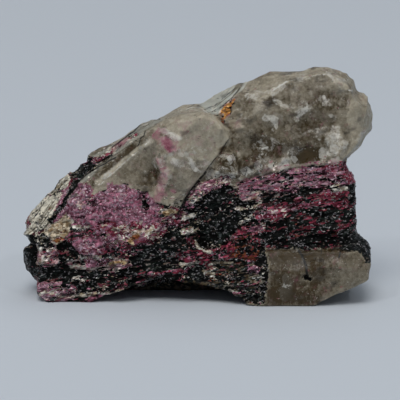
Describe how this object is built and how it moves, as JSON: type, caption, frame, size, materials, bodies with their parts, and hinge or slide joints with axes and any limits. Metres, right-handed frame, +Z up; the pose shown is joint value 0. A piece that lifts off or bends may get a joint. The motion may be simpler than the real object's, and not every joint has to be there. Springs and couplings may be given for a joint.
{
  "type": "raw lepidolite specimen",
  "caption": "Raw lepidolite hand specimen: pink mica and black tourmaline bands under smoky quartz, broken all round, that stands on its own base.",
  "frame": {"origin": "middle of the bounding box in plan, on the plane that the stone rests on", "axes": "+Z up, +X along the stone's length towards the tall quartz end, -Y out of the broken front"},
  "size_m": [0.086, 0.0396, 0.0549],
  "materials": {
    "stone": "raw broken surface, glassy grey quartz over granular pink mica and black tourmaline"
  },
  "bodies": {
    "root": {"lepidolite_rock": "stone"}
  },
  "joints": []
}
